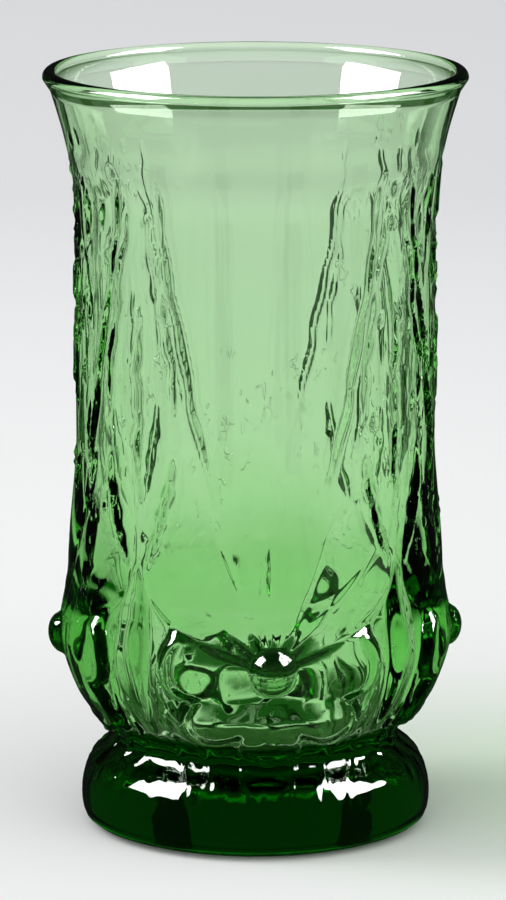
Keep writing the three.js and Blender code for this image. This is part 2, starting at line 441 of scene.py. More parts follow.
@dataclass
class Flower:
    """A flower of broad petals round a button, in the flat drawing, in millimetres.

    The upper petals, told by the sine of their direction, fade up the wall and carry fine veins. `dish` gives
    the height share from the button to the tip, `crease` is what a crease spares of the edge, and `rim_rise`
    and `button_foot` are heights as shares of the petals'.
    """

    petals: int = 8
    length: float = 22.6
    rise: float = 1.8
    dish: tuple[Span, ...] = ((0, 0.85), (0.5, 0.95), (1, 0.95))
    notch: float = 5.0
    notch_power: float = 2.5
    rim: float = 1.6
    rim_rise: float = 0.2
    edge: float = 1.9
    crease: float = 0.8
    upper: Span = (0.2, 0.75)
    soft_edge: float = 26.0
    fade_length: float = 18.0
    vein: float = 0.13
    vein_width: float = 0.6
    vein_edge: float = 0.5
    button_radius: float = 4.0
    button_rise: float = 3.8
    button_foot: float = 0.45
    seeds: int = 14
    seed_radius: float = 0.4
    seed_gap: float = 1.3

    def height(self, across: Array, up: Array) -> Array:
        """The flower's height at places in the flat drawing.

        Args:
            across: Millimetres to the right of the flower's middle.
            up: Millimetres above it, along the glass.

        Returns:
            The height at each place.
        """
        reach = np.hypot(across, up)
        turn = np.arctan2(up, across) / math.tau * self.petals
        offset = np.abs(turn - np.round(turn)) * 2
        upper = smoothstep(up / np.maximum(reach, TINY), *self.upper)
        tip = self.length - self.notch * offset**self.notch_power + self.fade_length * upper
        to_crease = reach * np.sin(math.pi / self.petals * (1 - offset))
        edge = between(self.edge, self.soft_edge, upper)
        to_edge = np.minimum(tip - reach, to_crease + self.crease * edge)
        share = np.clip((reach - self.button_radius) / (tip - self.button_radius), 0, 1)
        dish = np.interp(share, *zip(*self.dish))
        rim = self.rim_rise * (1 - upper) * np.maximum(0, 1 - ((tip - reach - self.rim) / self.rim) ** 2)
        inward = np.clip(to_edge / edge, 0, 1)
        shoulder = (1 - upper) * np.sqrt(1 - (1 - inward) ** 2) + upper * smoothstep(inward, 0, 1)
        to_vein = np.minimum(to_crease, reach * np.sin(math.pi / self.petals * offset))
        vein = self.vein * upper * np.exp(-((to_vein / self.vein_width) ** 2))
        vein = vein * smoothstep(inward, 0, self.vein_edge)
        petal = self.rise * (dish + rim) * shoulder - vein
        return np.maximum(petal, self._button(reach, np.arctan2(up, across)))

    def _button(self, reach: Array, turn: Array) -> Array:
        """The domed button and the ring of small seeds round it.

        Args:
            reach: The distance from the flower's middle.
            turn: The direction from there, in radians.

        Returns:
            The height at each place.
        """
        low = self.button_foot * self.rise
        dome = low + (self.button_rise - low) * np.sqrt(np.maximum(0, 1 - (reach / self.button_radius) ** 2))
        ring = self.button_radius + self.seed_gap * self.seed_radius
        step = math.tau / self.seeds
        gap = np.hypot(reach - ring, ring * (turn - np.round(turn / step) * step))
        seed = low + self.seed_radius * np.sqrt(np.maximum(0, 1 - (gap / self.seed_radius) ** 2))
        dome = np.where(reach < self.button_radius, dome, 0)
        return np.maximum(dome, np.where(gap < self.seed_radius, seed, 0))


@dataclass
class PressedPattern:
    """All that the mould raises on the outside: flowers, leaves, stems and the rough ground.

    Here a ridge's ends are millimetres across and a height on the glass, and its mirror image comes with it.
    The ground's spans are heights between which it changes, but for `ground_sides`, turns from the front in
    radians, and `ground_relief`, heights of what is raised.
    """

    form: TumblerForm
    flowers: int = 4
    flower: Flower = field(default_factory=Flower)
    stem: Ridge = Ridge((9, 64), (24, 135), bow=1.2, width=2.2, rise=1.2, waver=0.25, worn=0.2)
    roots: tuple[Ridge, ...] = tuple(
        Ridge((low, 10.5), (high, 29), bow=-0.6, width=2.8, rise=0.5, waver=0.2, section=Section.SOFT)
        for low, high in ((3.5, 8.5), (9.0, 16.0), (15.0, 22.0))
    )
    leaf: Ridge = Ridge((0, 22), (0, 59), bow=0, width=8.4, rise=1.0, section=Section.SOFT)
    sepal: Ridge = Ridge(
        (12.5, 14), (6.2, 36), bow=-0.95, width=3.8, rise=0.7, waver=0.1, section=Section.SOFT)
    sprig: Ridge = Ridge((1.8, 55.4), (8, 79), bow=0.9, width=3.4, rise=1.5, waver=0.1)
    blade: Ridge = Ridge((9, 84), (2.5, 126), bow=0.8, width=1.9, rise=0.9, waver=0.35, worn=0.4)
    middle_blade: Ridge = replace(blade, start=(0, 66), end=(0, 108), bow=0)
    smooth_panel: tuple[Span, ...] = ((60, 10), (64, 11), (135, 25))
    panel_edge: float = 1.5
    ground_sides: Span = (0.9, 1.2)
    ground_ahead: float = 0.3
    ground_belly: Span = (50, 66)
    belly_share: float = 0.5
    ground_low: Span = (84, 92)
    low_share: float = 0.3
    ground_foot: Span = (19, 26)
    ground_lip: Span = (130, 141)
    ground_relief: Span = (0.1, 0.7)
    relief_share: float = 0.75

    def __post_init__(self) -> None:
        """Places the ridges on the glass, round a flower's middle and round the middle between two."""
        self.outer = self.form.outer()
        self.peak = self.outer.distance_at(self.form.bulge_height)
        self.middle_ridges = self._placed(self.stem, *self.roots)
        self.between_ridges = self._placed(self.sepal, self.sprig, self.blade)
        self.between_ridges += self._placed(self.leaf, self.middle_blade, sides=(1,))

    def _placed(self, *drawn: Ridge, sides: tuple[int, ...] = (-1, 1)) -> list[Ridge]:
        """Turns ridges' heights on the glass into distances up it, for each side.

        Args:
            *drawn: The ridges as they are drawn for the right.
            sides: 1 for the right, -1 for the mirror image.

        Returns:
            The ridges in the flat drawing.
        """
        return [
            replace(
                ridge, bow=side * ridge.bow,
                start=(side * ridge.start[0], self.up_to(ridge.start[1])),
                end=(side * ridge.end[0], self.up_to(ridge.end[1])))
            for ridge in drawn for side in sides
        ]

    def up_to(self, height: float) -> float:
        """The distance up the glass from the bulge's peak to a height."""
        return self.outer.distance_at(height) - self.peak

    def relief(self, angle: Array, up: Array, radius: Array) -> Array:
        """What the flowers and ridges raise.

        Args:
            angle: The turn round the glass, in radians.
            up: The distance up the glass from the bulge's peak.
            radius: The glass's radius there.

        Returns:
            The raised height at each place.
        """
        share = math.tau / self.flowers
        turn = angle - np.round(angle / share) * share
        across = turn * radius
        beyond = (np.abs(turn) - share / 2) * np.where(turn < 0, -1, 1) * radius
        height = self.flower.height(across, up)
        for ridge in self.middle_ridges:
            height = np.maximum(height, ridge.height(across, up))
        for ridge in self.between_ridges:
            height = np.maximum(height, ridge.height(beyond, up))
        return height

    def ground(self, angle: Array, radius: Array, height: Array, relief: Array) -> Array:
        """How rough the ground is: smooth over the front and back flowers, at the foot and the lip.

        Args:
            angle: The turn round the glass, in radians.
            radius: The glass's radius there.
            height: The height there.
            relief: What the pattern raises there.

        Returns:
            The roughness of the ground from 0 to 1, fading out on the raised forms.
        """
        turn = np.abs(angle - np.round(angle / math.pi) * math.pi)
        panel = np.interp(height, *zip(*self.smooth_panel))
        outside = smoothstep(turn * radius, panel - self.panel_edge, panel + self.panel_edge)
        outside = outside * between(self.ground_ahead, 1, smoothstep(turn, *self.ground_sides))
        outside = outside * between(self.belly_share, 1, smoothstep(height, *self.ground_belly))
        low = self.low_share * (1 - smoothstep(height, *self.ground_low))
        ends = smoothstep(height, *self.ground_foot) * (1 - smoothstep(height, *self.ground_lip))
        raised = self.relief_share * smoothstep(relief, *self.ground_relief)
        return ends * np.maximum(outside, low) * (1 - raised)


class TurnedMesh:
    """Gathers rings of points round the axis, and the faces between them, for one closed body."""

    FIELDS = ("relief", "ground", "polish", "shoulder")

    def __init__(self) -> None:
        """Starts with no points and no faces."""
        self.first = self.count = 0
        self.points: list[Array] = []
        self.outward: list[Array] = []
        self.values: dict[str, list[Array]] = {name: [] for name in self.FIELDS}
        self.faces: list[tuple[int, ...]] = []

    def ring(self, place: Array, outward: Array, columns: int, **values: Array | float) -> None:
        """Adds a ring of points and joins it to the ring before.

        Args:
            place: The ring's radius and height, in millimetres.
            outward: The outline's outward direction there, as radius and height.
            columns: How many points: as many as the ring before, a third, three times, or 1 on the axis.
            **values: What the surface tree reads there, one number or one for each point.
        """
        turn = np.linspace(0, math.tau, columns, endpoint=False)
        around = np.stack([np.sin(turn), -np.cos(turn), np.zeros(columns)], -1)
        self.points.append(around * place[0] + np.array([0, 0, place[1]]))
        self.outward.append(around * outward[0] + np.array([0, 0, outward[1]]))
        for name in self.FIELDS:
            self.values[name].append(np.broadcast_to(values.get(name, 0.0), columns))
        before, self.first = self.first, self.count
        self.count += columns
        if len(self.points) > 1:
            self._join(before, self.first - before, self.first, columns)

    def _join(self, a: int, before: int, b: int, columns: int) -> None:
        """Adds the faces between two rings.

        Args:
            a: The first ring's first point.
            before: How many points it has.
            b: The next ring's first point.
            columns: How many points that one has.
        """
        most = max(before, columns)
        pairs = [(j, (j + 1) % most) for j in range(most)]
        if before == columns:
            self.faces += [(a + j, a + k, b + k, b + j) for j, k in pairs]
        elif before == 1:
            self.faces += [(a, b + k, b + j) for j, k in pairs]
        elif columns == 1:
            self.faces += [(a + j, a + k, b) for j, k in pairs]
        else:
            fine, coarse, way = (a, b, 1) if before > columns else (b, a, -1)
            for j in range(most // 3):
                p, q, r, s = (fine + (3 * j + m) % most for m in range(4))
                e, f = coarse + j, coarse + (j + 1) % (most // 3)
                self.faces += [face[::way] for face in ((p, q, e), (q, r, f, e), (r, s, f))]

    def to_object(self, name: str) -> Object:
        """Makes the Blender object, in metres, with its attributes.

        Args:
            name: The object's name.

        Returns:
            The object, linked to the scene.
        """
        mesh = bpy.data.meshes.new(name)
        mesh.from_pydata((np.concatenate(self.points) * MM).tolist(), [], self.faces)
        for field_name, parts in self.values.items():
            layer = mesh.attributes.new(field_name, "FLOAT", "POINT")
            layer.data.foreach_set("value", np.concatenate(parts).astype(np.float32))
        layer = mesh.attributes.new("outward", "FLOAT_VECTOR", "POINT")
        layer.data.foreach_set("vector", np.concatenate(self.outward).astype(np.float32).ravel())
        mesh.update()
        return link_object(name, mesh)


@dataclass
class GlassBody:
    """The tumbler's one body of glass, as a closed mesh that carries the mould's pattern.

    The polish and the shoulder's waves begin and end between two heights each, in millimetres.
    """

    form: TumblerForm
    pattern: PressedPattern
    columns: int = 432
    inner_columns: int = 144
    foot_spacing: float = 1.4
    flower_spacing: float = 0.6
    wall_spacing: float = 0.86
    inner_spacing: float = 3.0
    fine_below_waist: float = 4.0
    fine_above_belly: Span = (9, 14)
    polish_begins: Span = (0, 6)
    polish_ends: Span = (138, 145)
    shoulder_begins: Span = (8, 12)
    shoulder_ends: Span = (21, 30)
    bead_steps: int = 14
    throat_rings: int = 3

    def _distances(self) -> Array:
        """Spaces the outer side's rings, close together where the pattern is fine.

        Returns:
            Each ring's distance along the outer side.
        """
        outer = self.pattern.outer
        waist, top = self.form.waist_height, self.form.belly_top
        spacing = np.interp(
            outer.points[:, 1],
            [waist - self.fine_below_waist, waist, *(top + above for above in self.fine_above_belly)],
            [self.foot_spacing, self.flower_spacing, self.flower_spacing, self.wall_spacing],
        )
        rows = np.concatenate([[0], np.cumsum(np.diff(outer.distance) / spacing[1:])])
        return np.interp(np.linspace(0, rows[-1], math.ceil(rows[-1]) + 1), rows, outer.distance)

    def _averaged_relief(self, turn: Array, up: Array, radius: Array) -> Array:
        """The relief over each point's own cell, so that slanting edges run smoothly over the grid.

        Args:
            turn: The turn round the glass, in radians.
            up: The distance up the glass from the bulge's peak.
            radius: The glass's radius there.

        Returns:
            The mean height in each cell.
        """
        aside = math.pi / self.columns / 2
        above = np.gradient(up, axis=0) / 4
        places = [(turn + a * aside, up + b * above) for a in (-1, 1) for b in (-1, 1)]
        return sum(self.pattern.relief(turns, ups, radius) for turns, ups in places) / len(places)

    def _underside(self, mesh: TurnedMesh) -> None:
        """Adds the recess, from the axis, and the ring that the glass stands on."""
        for i, place in enumerate(self.form.underside(self.inner_spacing)):
            mesh.ring(place, np.array([0.0, -1.0]), self.inner_columns if i else 1)

    def _outside(self, mesh: TurnedMesh) -> None:
        """Adds the patterned outer side and the lip's bead.

        Args:
            mesh: The mesh to add to.
        """
        outer, along = self.pattern.outer, self._distances()
        place, slope = outer.at(along), outer.slope(along)
        angle = np.linspace(0, math.tau, self.columns, endpoint=False)
        turn, up = np.meshgrid(angle, along - self.pattern.peak)
        radius, height = (np.repeat(place[:, i : i + 1], self.columns, axis=1) for i in (0, 1))
        relief = self._averaged_relief(turn, up, radius)
        ground = self.pattern.ground(turn, radius, height, relief)
        polish, shoulder = (
            smoothstep(place[:, 1], *begins) * (1 - smoothstep(place[:, 1], *ends))
            for begins, ends in (
                (self.polish_begins, self.polish_ends), (self.shoulder_begins, self.shoulder_ends))
        )
        for i in range(len(place)):
            mesh.ring(
                place[i], np.array([slope[i][1], -slope[i][0]]), self.columns,
                relief=relief[i], ground=ground[i], polish=polish[i], shoulder=shoulder[i])
        for place_on_bead in self.form.bead(self.bead_steps):
            mesh.ring(place_on_bead, np.array([1.0, 0.0]), self.columns)

    def _inside(self, mesh: TurnedMesh) -> None:
        """Adds the throat, the wall and the floor of the hollow, up to the axis, which closes the body.

        Args:
            mesh: The mesh to add to.
        """
        places = self.form.inside(self.form.bead(self.bead_steps)[-1], self.inner_spacing)
        for i, place in enumerate(places[:-1]):
            ahead = places[i + 1] - place
            ahead = ahead / np.linalg.norm(ahead)
            polish = min(1.0, i / self.throat_rings)
            mesh.ring(place, np.array([ahead[1], -ahead[0]]), self.inner_columns, polish=polish)
        mesh.ring(places[-1], np.array([0.0, 1.0]), 1)

    def build(self) -> Object:
        """Makes the smooth body.

        Returns:
            The object, with the attributes that the pressed surface is made from.
        """
        mesh = TurnedMesh()
        for part in (self._underside, self._outside, self._inside):
            part(mesh)
        return mesh.to_object("tumbler_blank")


@dataclass
class PressedSurface:
    """The Geometry Nodes tree that raises the mould's pattern, its rough ground and the glass's ripple.

    Each field is one of the tree's inputs. Sizes are in millimetres. Noise above the dense or the sparse
    level becomes a ridge. A drop falls from its core to its edge, both as shares of the spacing, and only
    cells whose random value is above `drop_above` have one.
    """

    ground_rise: float = 0.6
    ground_dense: float = 0.55
    ground_sparse: float = 0.74
    ground_crisp: float = 0.08
    ground_width: float = 2.8
    ground_length: float = 9.0
    drop_rise: float = 0.35
    drop_spacing: float = 3.6
    drop_core: float = 0.18
    drop_edge: float = 0.33
    drop_above: float = 0.7
    ripple_rise: float = 0.05
    ripple_width: float = 10.0
    shoulder_rise: float = 0.32
    shoulder_width: float = 3.8
    seed: int = 7

    def sizes(self) -> dict[str, float]:
        """The tree's number inputs by name."""
        return {item.name.replace("_", " ").title(): float(getattr(self, item.name)) for item in fields(self)}

    def _interface(self, tree: Tree) -> None:
        """Names the tree's inputs.

        Args:
            tree: The tree to name them in.
        """
        tree.interface.new_socket("Geometry", in_out="OUTPUT", socket_type="NodeSocketGeometry")
        tree.interface.new_socket("Geometry", in_out="INPUT", socket_type="NodeSocketGeometry")
        for name in self.sizes():
            tree.interface.new_socket(name, in_out="INPUT", socket_type="NodeSocketFloat")
        tree.interface.new_socket("Material", in_out="INPUT", socket_type="NodeSocketMaterial")

    def _ground(self, add: Adder, given: Node, place: Node, share: Node) -> Node:
        """Low ridges with crisp edges, longer than they are wide, and fewer where the ground's share is low.

        Args:
            add: Adds a node to the tree.
            given: The tree's inputs.
            place: The position in millimetres.
            share: How rough the ground is.

        Returns:
            The node that gives their height.
        """
        across, along = (
            add("Math", {0: 1.0, 1: given.outputs[name]}, operation="DIVIDE")
            for name in ("Ground Width", "Ground Length")
        )
        scale = add("CombineXYZ", {"X": across, "Y": across, "Z": along})
        scaled = add("VectorMath", {0: place, 1: scale}, operation="MULTIPLY")
        noise = add(
            "TexNoise", {"Vector": scaled, "W": given.outputs["Seed"], "Scale": 1.0, "Detail": 2.0,
             "Roughness": 0.55, "Distortion": 0.5},
            noise_dimensions="4D",
        )
        start = add(
            "MapRange", {"Value": share, "To Min": given.outputs["Ground Sparse"],
             "To Max": given.outputs["Ground Dense"]})
        end = add("Math", {0: start, 1: given.outputs["Ground Crisp"]}, operation="ADD")
        crisp = add(
            "MapRange", {"Value": noise, "From Min": start, "From Max": end},
            interpolation_type="SMOOTHSTEP")
        return add("Math", {0: crisp, 1: given.outputs["Ground Rise"]}, operation="MULTIPLY")

    def _drops(self, add: Adder, given: Node, place: Node) -> Node:
        """Small round drops between the ridges.

        Args:
            add: Adds a node to the tree.
            given: The tree's inputs.
            place: The position in millimetres.

        Returns:
            The node that gives their height.
        """
        scale = add("Math", {0: 1.0, 1: given.outputs["Drop Spacing"]}, operation="DIVIDE")
        cells = add(
            "TexVoronoi", {"Vector": place, "W": given.outputs["Seed"], "Scale": scale, "Randomness": 1.0},
            voronoi_dimensions="4D",
        )
        drop = add(
            "MapRange", {"Value": cells.outputs["Distance"], "From Min": given.outputs["Drop Edge"],
             "From Max": given.outputs["Drop Core"]},
            interpolation_type="SMOOTHSTEP",
        )
        chance = add("SeparateXYZ", {0: cells.outputs["Color"]})
        kept = add("Math", {0: chance, 1: given.outputs["Drop Above"]}, operation="GREATER_THAN")
        for factor in (kept, given.outputs["Drop Rise"]):
            drop = add("Math", {0: drop, 1: factor}, operation="MULTIPLY")
        return drop

    def _waves(self, add: Adder, given: Node, place: Node, kind: str, share: Node) -> Node:
        """Smooth waves of one kind: the faint ripple that hot glass keeps, or the shoulder's deep one.

        Args:
            add: Adds a node to the tree.
            given: The tree's inputs.
            place: The position in millimetres.
            kind: What the names of their inputs start with.
            share: How much of them there is.

        Returns:
            The node that gives their height.
        """
        scale = add("Math", {0: 1.0, 1: given.outputs[f"{kind} Width"]}, operation="DIVIDE")
        noise = add(
            "TexNoise", {"Vector": place, "W": given.outputs["Seed"], "Scale": scale, "Detail": 1.0},
            noise_dimensions="4D",
        )
        waves = add("Math", {0: noise, 1: 0.5}, operation="SUBTRACT")
        for factor in (2.0, given.outputs[f"{kind} Rise"], share):
            waves = add("Math", {0: waves, 1: factor}, operation="MULTIPLY")
        return waves

    def tree(self) -> Tree:
        """Builds the node tree, which moves each point outwards by what is raised there.

        Returns:
            The tree.
        """
        tree = bpy.data.node_groups.new("Pressed surface", "GeometryNodeTree")
        self._interface(tree)
        add = partial(add_node, tree)
        given = add("NodeGroupInput")
        read = {
            name: add("GeometryNodeInputNamedAttribute", {"Name": name}, data_type="FLOAT")
            for name in TurnedMesh.FIELDS
        }
        outward = add("GeometryNodeInputNamedAttribute", {"Name": "outward"}, data_type="FLOAT_VECTOR")
        position = add("GeometryNodeInputPosition")
        place = add("VectorMath", {0: position, "Scale": 1 / MM}, operation="SCALE")
        ground = self._ground(add, given, place, read["ground"])
        rough = add("Math", {0: ground, 1: self._drops(add, given, place)}, operation="MAXIMUM")
        fade = add("Math", {0: read["ground"], 1: ROUGH_GAIN}, operation="MULTIPLY", use_clamp=True)
        rough = add("Math", {0: rough, 1: fade}, operation="MULTIPLY")
        ripple = self._waves(add, given, place, "Ripple", read["polish"])
        shoulder = self._waves(add, given, place, "Shoulder", read["shoulder"])
        rise = read["relief"]
        for part in (rough, ripple, shoulder):
            rise = add("Math", {0: rise, 1: part}, operation="ADD")
        metres = add("Math", {0: rise, 1: MM}, operation="MULTIPLY")
        offset = add("VectorMath", {0: outward, "Scale": metres}, operation="SCALE")
        moved = add("GeometryNodeSetPosition", {"Geometry": given.outputs["Geometry"], "Offset": offset})
        smooth = add("GeometryNodeSetShadeSmooth", {"Geometry": moved, "Shade Smooth": True})
        real = add("GeometryNodeRealizeInstances", {"Geometry": smooth})
        dressed = add("GeometryNodeSetMaterial", {"Geometry": real, "Material": given.outputs["Material"]})
        add("NodeGroupOutput", {"Geometry": dressed})
        return tree

    def press(self, blank: Object, name: str, material: Material) -> Object:
        """Runs the tree on the smooth body and keeps the result as a plain mesh.

        Args:
            blank: The smooth body with its attributes.
            name: The finished piece's name.
            material: The glass.

        Returns:
            The finished piece, with no modifier left.
        """
        modifier = blank.modifiers.new("Pressed surface", "NODES")
        modifier.node_group = self.tree()
        values: dict[str, object] = {**self.sizes(), "Material": material}
        for item in modifier.node_group.interface.items_tree:
            if item.in_out == "INPUT" and item.name in values:
                modifier[item.identifier] = values[item.name]
        evaluated = blank.evaluated_get(bpy.context.evaluated_depsgraph_get())
        mesh = bpy.data.meshes.new_from_object(evaluated)
        mesh.name = name
        piece = link_object(name, mesh)
        bpy.data.objects.remove(blank)
        return piece


@dataclass(frozen=True)
class SodaLimeGlass:
    """Soda-lime glass, tinted in the melt, pressed in an iron mould and fire polished.

    Attributes:
        name: The material's name.
        ior: The glass's refractive index.
        polish: Roughness where the fire has smoothed the surface.
        mould_skin: Roughness on the ground that the mould left.
        tint: The colour that the least absorbed light keeps.
        density: Absorption per metre.
        skin_grain: The size of the mould's grain, in millimetres, drawn as coarse as it needs to show.
        skin_stretch: How fine the grain is up the glass, as a share of its fineness across.
        skin_line: The noise levels between which a line of grain rises.
        skin_patch: The size of the patches that have that grain, in millimetres.
        skin_edge: The noise levels between which a patch begins.
        skin_depth: The depth of that grain, in millimetres.
    """

    name: str = "pressed_soda_lime_glass"
    ior: float = 1.52
    polish: float = 0.0
    mould_skin: float = 0.03
    tint: str = "#75E42A"
    density: float = 125.0
    skin_grain: float = 1.7
    skin_stretch: float = 0.5
    skin_line: Span = (0.63, 0.655)
    skin_patch: float = 11.0
    skin_edge: Span = (0.48, 0.58)
    skin_depth: float = 0.13

    def material(self) -> Material:
        """Builds the glass: clear at its surface, with all of its green in the volume.

        Returns:
            The material.
        """
        material, add = new_material(self.name)
        rough = add("Attribute", attribute_name="ground").outputs["Fac"]
        skin = add("MapRange", {"Value": rough, "To Min": self.polish, "To Max": self.mould_skin})
        surface = add(
            "BsdfPrincipled", {"Base Color": (1, 1, 1, 1), "Roughness": skin, "IOR": self.ior,
             "Transmission Weight": 1.0, "Normal": self._grain(add, rough)})
        volume = add("VolumeAbsorption", {"Color": linear(self.tint), "Density": self.density})
        add("OutputMaterial", {"Surface": surface, "Volume": volume})
        return material

    def _grain(self, add: Adder, rough: Socket) -> Node:
        """Fine worm lines of the mould's ground, too fine for the mesh.

        Args:
            add: Adds a node to the material.
            rough: How rough the ground is.

        Returns:
            The node that gives the bumped normal.
        """
        place = add("TexCoord").outputs["Object"]
        fine = 1 / (self.skin_grain * MM)
        stretch = add("Mapping", {"Vector": place, "Scale": (fine, fine, self.skin_stretch * fine)})
        noise = add("TexNoise", {"Vector": stretch, "Scale": 1.0, "Detail": 1.0, "Distortion": 0.8})
        line = add(
            "MapRange", {"Value": noise, "From Min": self.skin_line[0], "From Max": self.skin_line[1]},
            interpolation_type="SMOOTHSTEP")
        patches = add("TexNoise", {"Vector": place, "Scale": 1 / (self.skin_patch * MM), "Detail": 1.0})
        patch = add(
            "MapRange", {"Value": patches, "From Min": self.skin_edge[0], "From Max": self.skin_edge[1]})
        full = add("Math", {0: rough, 1: ROUGH_GAIN}, operation="MULTIPLY", use_clamp=True)
        strength = add("Math", {0: full, 1: patch}, operation="MULTIPLY")
        return add("Bump", {"Strength": strength, "Distance": self.skin_depth * MM, "Height": line})


@dataclass
class Studio:
    """The pale sweep, the room that the glass shows and the lights, all in metres and degrees.

    Through the glass, the room is pale at the horizon, dim above it and dark at the top. In direct
    reflections it is dark, but for two softboxes.
    """

    facing: float
    floor_size: float = 4.0
    floor_drop: float = 0.0002
    # Painted shade: the floor's colour darkens from near to far, in place of the light falling off.
    near_colour: str = "#F8F9F9"
    far_colour: str = "#DFE0E2"
    near: float = 0.2
    far: float = 0.8
    # Painted light and shade: a soft green pool on the floor beside the foot, where light would fall through
    # the glass into its shadow.
    painted_green_light_colour: str = "#E0F4DD"
    painted_green_light_place: Span = (0.075, 0.02)
    painted_green_light_reach: float = 0.12
    plain_level: float = 0.8
    sky_colour: str = "#E4E6E7"
    dim_colour: str = "#48643F"
    dark_colour: str = "#1C301A"
    direct_colour: str = "#1C1E1E"
    pale_to: float = -1.0
    dim_from: float = 4.0
    dim_to: float = 10.0
    dark_from: float = 26.0
    box_azimuth: float = 80.0
    box_half_width: float = 22.0
    box_low: float = 22.0
    box_high: float = 60.0
    box_distance: float = 1.4
    box_strength: float = 26.0
    box_through: float = 2.0
    flags: int = 8
    flag_offset: float = 20.0
    flag_half_width: float = 5.5
    flag_near: float = 0.28
    flag_far: float = 2.0
    flag_height: float = 0.7
    # The card round the foot: a painted dark reflection, and a painted green shadow near the foot for what
    # the glass shows.
    table_near: float = 0.0292
    table_far: float = 3.5
    table_corners: int = 64
    painted_dark_reflection_colour: str = "#1C1E1E"
    shade_colour: str = "#2F5F2C"
    shade_from: float = 0.13
    shade_full: float = 0.075
    lamp_azimuth: float = -92.0
    lamp_elevation: float = 40.0
    lamp_distance: float = 1.6
    lamp_size: float = 0.7
    lamp_power: float = 9.0

    def build(self) -> None:
        """Makes the floor, the world, two tall softboxes, the dark cards and the floor's lamp."""
        self._floor()
        self._world()
        for side, name in ((-1, "softbox_left"), (1, "softbox_right")):
            self._softbox(side, name)
        painted_dark = self._painted_dark()
        for number in range(self.flags):
            self._flag(number, painted_dark)
        self._black_table()
        self._lamp()

    def _floor(self) -> None:
        """A matt pale floor, with painted shade that makes it a little darker far away, and painted green
        light and shade where light would fall through the glass.
        """
        material, add = new_material("matt_sweep_paper")
        place = add("TexCoord").outputs["Object"]
        reach = add("VectorMath", {0: place}, operation="LENGTH").outputs["Value"]
        # Painted shade: the floor is darker far away.
        share = add("MapRange", {"Value": reach, "From Min": self.near, "From Max": self.far})
        colour = add(
            "Mix",
            {"Factor": share, 6: linear(self.near_colour), 7: linear(self.far_colour)}, data_type="RGBA")
        # Painted green light and shade beside the foot, where light would fall through the glass.
        beside = add("VectorMath", {0: place, 1: (*self.painted_green_light_place, 0.0)}, operation="DISTANCE")
        tint = add(
            "MapRange", {"Value": beside.outputs["Value"], "From Min": self.painted_green_light_reach, "From Max": 0.0},
            interpolation_type="SMOOTHSTEP")
        with_painted_light = add(
            "Mix", {"Factor": tint, 6: colour.outputs[2], 7: linear(self.painted_green_light_colour)}, data_type="RGBA")
        paper = add("BsdfDiffuse", {"Color": with_painted_light.outputs[2], "Roughness": 1.0})
        add("OutputMaterial", {"Surface": paper})
        size = self.floor_size
        corners = [
            (x, y, -self.floor_drop) for x, y in ((-size, -size), (size, -size), (size, size), (-size, size))
        ]
        floor = flat_object("floor", corners, [(0, 1, 2, 3)], material)

    def _world(self) -> None:
        """Plain light on matt surfaces, the room for what glass shows, and a pale backdrop for the camera."""
        world = bpy.data.worlds.new("studio")
        bpy.context.scene.world = world
        world.use_nodes = True
        world.node_tree.nodes.clear()
        add = partial(add_node, world.node_tree)
        way = add("TexCoord").outputs["Generated"]
        up = add("SeparateXYZ", {0: way}).outputs["Z"]
        path = add("LightPath")
        dim = self._above(add, up, self.pale_to, self.dim_from)
        low = add(
            "Mix",
            {"Factor": dim, 6: linear(self.sky_colour), 7: linear(self.dim_colour)}, data_type="RGBA")
        dark = self._above(add, up, self.dim_to, self.dark_from)
        behind = add(
            "Mix", {"Factor": dark, 6: low.outputs[2], 7: linear(self.dark_colour)}, data_type="RGBA")
        shown = add(
            "Mix", {"Factor": path.outputs["Is Transmission Ray"], 6: linear(self.direct_colour),
             7: behind.outputs[2]}, data_type="RGBA")
        through = add(
            "Math",
            {0: path.outputs["Is Glossy Ray"], 1: path.outputs["Is Transmission Ray"]}, operation="MAXIMUM")
        seen = add("Background", {"Color": linear(self.sky_colour)})
        room = add("Background", {"Color": shown.outputs[2]})
        plain = add("Background", {"Color": (1, 1, 1, 1), "Strength": self.plain_level})
        mixed = add("MixShader", {"Fac": through, 1: plain, 2: room})
        mixed = add("MixShader", {"Fac": path.outputs["Is Camera Ray"], 1: mixed, 2: seen})
        add("OutputWorld", {"Surface": mixed})

    @staticmethod
    def _above(add: Adder, up: Socket, low: float, high: float) -> Node:
        """How far a direction is above one elevation on the way to another, in degrees."""
        return add(
            "MapRange",
            {"Value": up, "From Min": math.sin(math.radians(low)), "From Max": math.sin(math.radians(high))},
            interpolation_type="SMOOTHSTEP")

    def _direction(self, azimuth: float, elevation: float) -> Vector:
        """A direction from the object, with azimuth 0 towards the camera and growing to its right."""
        turn, rise = math.radians(self.facing + azimuth), math.radians(elevation)
        return Vector((math.sin(turn) * math.cos(rise), -math.cos(turn) * math.cos(rise), math.sin(rise)))

